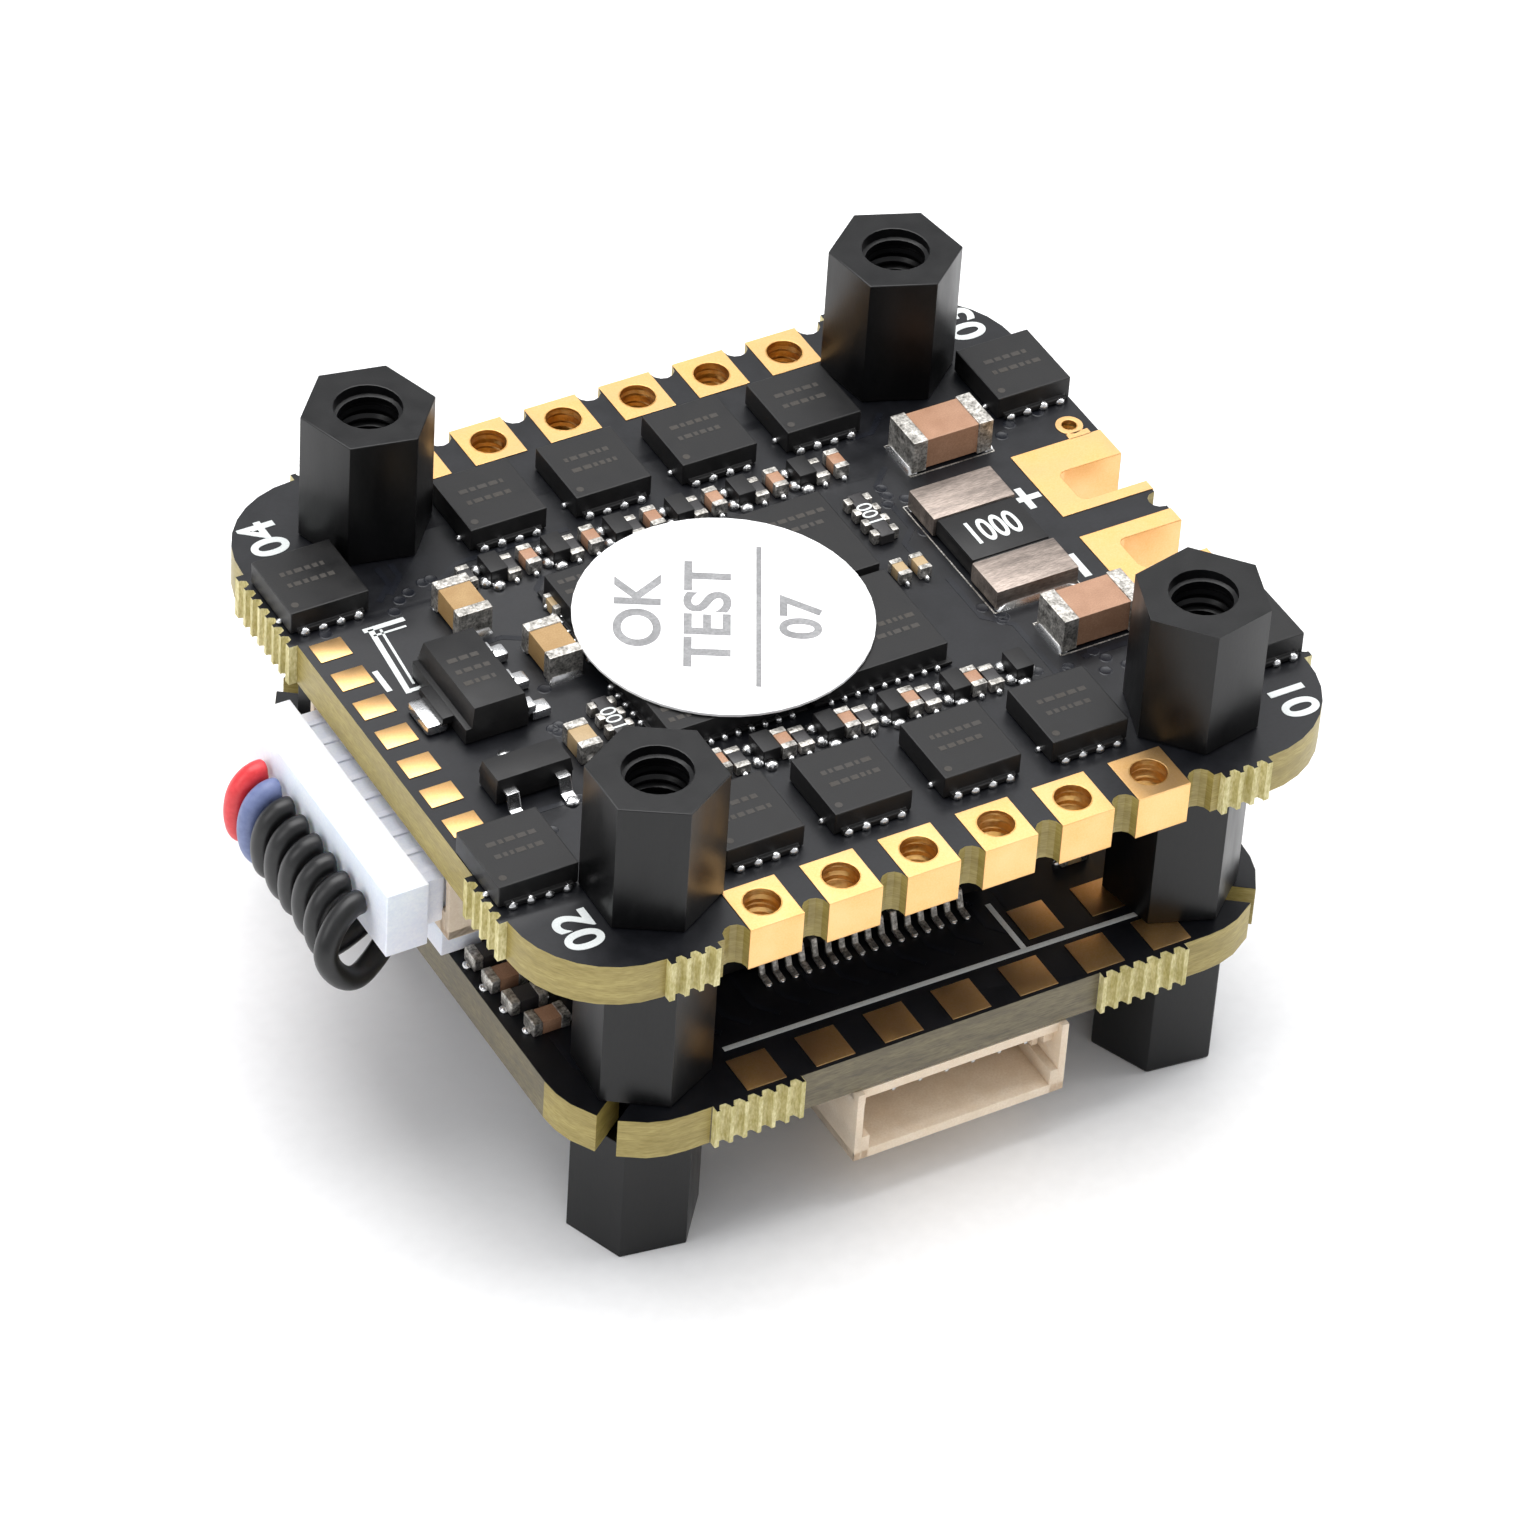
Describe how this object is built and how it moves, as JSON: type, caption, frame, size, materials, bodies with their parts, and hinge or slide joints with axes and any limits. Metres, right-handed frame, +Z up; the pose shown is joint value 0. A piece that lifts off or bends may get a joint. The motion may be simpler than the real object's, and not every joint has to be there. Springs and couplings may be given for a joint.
{
  "type": "electronic speed controller stack",
  "caption": "Two-board drone power stack on hexagon standoffs: motor controller above, flight controller below, joined by a plug-in wire lead.",
  "frame": {"origin": "on the plane of the feet, under the middle of the overall box, 1.9 mm right of the centre of the 20 mm hole square", "axes": "+Z up through the stack, +X towards the battery pads, -Y towards the front row of motor pads"},
  "size_m": [0.034, 0.0268, 0.0192],
  "materials": {
    "solder_mask": "satin",
    "black_nylon": "satin",
    "epoxy": "matt",
    "brown_ceramic": "satin",
    "tan_ceramic": "satin",
    "tin_plate": "brushed",
    "label": "matt",
    "ivory_nylon": "satin",
    "white_nylon": "satin",
    "steel": "bright",
    "red_silicone": "satin",
    "slate_silicone": "satin",
    "black_silicone": "satin"
  },
  "bodies": {
    "stack": {"upper_board": "solder_mask", "lower_board": "solder_mask", "foot_standoff_front_left": "black_nylon", "foot_standoff_front_right": "black_nylon", "foot_standoff_back_left": "black_nylon", "foot_standoff_back_right": "black_nylon", "middle_standoff_front_left": "black_nylon", "middle_standoff_front_right": "black_nylon", "middle_standoff_back_left": "black_nylon", "middle_standoff_back_right": "black_nylon", "power_transistor_01": "epoxy", "power_transistor_02": "epoxy", "power_transistor_03": "epoxy", "power_transistor_04": "epoxy", "power_transistor_05": "epoxy", "power_transistor_06": "epoxy", "power_transistor_07": "epoxy", "power_transistor_08": "epoxy", "power_transistor_09": "epoxy", "power_transistor_10": "epoxy", "power_transistor_11": "epoxy", "power_transistor_12": "epoxy", "driver_chip_1": "epoxy", "driver_chip_2": "epoxy", "driver_chip_3": "epoxy", "driver_chip_4": "epoxy", "voltage_regulator": "epoxy", "clamp_diode": "epoxy", "processor": "epoxy", "motion_sensor": "epoxy", "flash_memory": "epoxy", "bulk_capacitor_plus": "brown_ceramic", "bulk_capacitor_minus": "brown_ceramic", "filter_capacitor_back": "tan_ceramic", "filter_capacitor_front": "tan_ceramic", "current_shunt": "tin_plate", "inspection_sticker": "label", "upper_socket": "ivory_nylon", "lower_socket": "ivory_nylon", "front_socket": "ivory_nylon", "usb_socket": "steel", "boot_button_body": "steel"},
    "lead": {"upper_plug": "white_nylon", "lower_plug": "white_nylon", "wire_red": "red_silicone", "wire_slate": "slate_silicone", "wire_black_1": "black_silicone", "wire_black_2": "black_silicone", "wire_black_3": "black_silicone", "wire_black_4": "black_silicone", "wire_black_5": "black_silicone", "wire_black_6": "black_silicone"},
    "boot_button": {"boot_button_cap": "epoxy"},
    "top_front_left": {"top_standoff_front_left": "black_nylon"},
    "top_front_right": {"top_standoff_front_right": "black_nylon"},
    "top_back_left": {"top_standoff_back_left": "black_nylon"},
    "top_back_right": {"top_standoff_back_right": "black_nylon"}
  },
  "joints": [
    {"name": "lead_unplug", "type": "slide", "parent": "stack", "child": "lead", "axis": [-1, 0, 0], "range_m": [0, 0.006]},
    {"name": "boot_press", "type": "slide", "parent": "stack", "child": "boot_button", "axis": [0, 0, 1], "range_m": [0, 0.00025], "stiffness_N_per_m": 400, "springref_m": -0.0005},
    {"name": "front_left_standoff_unscrew", "type": "slide", "parent": "stack", "child": "top_front_left", "axis": [0, 0, 1], "range_m": [0, 0.006]},
    {"name": "front_right_standoff_unscrew", "type": "slide", "parent": "stack", "child": "top_front_right", "axis": [0, 0, 1], "range_m": [0, 0.006]},
    {"name": "back_left_standoff_unscrew", "type": "slide", "parent": "stack", "child": "top_back_left", "axis": [0, 0, 1], "range_m": [0, 0.006]},
    {"name": "back_right_standoff_unscrew", "type": "slide", "parent": "stack", "child": "top_back_right", "axis": [0, 0, 1], "range_m": [0, 0.006]}
  ]
}
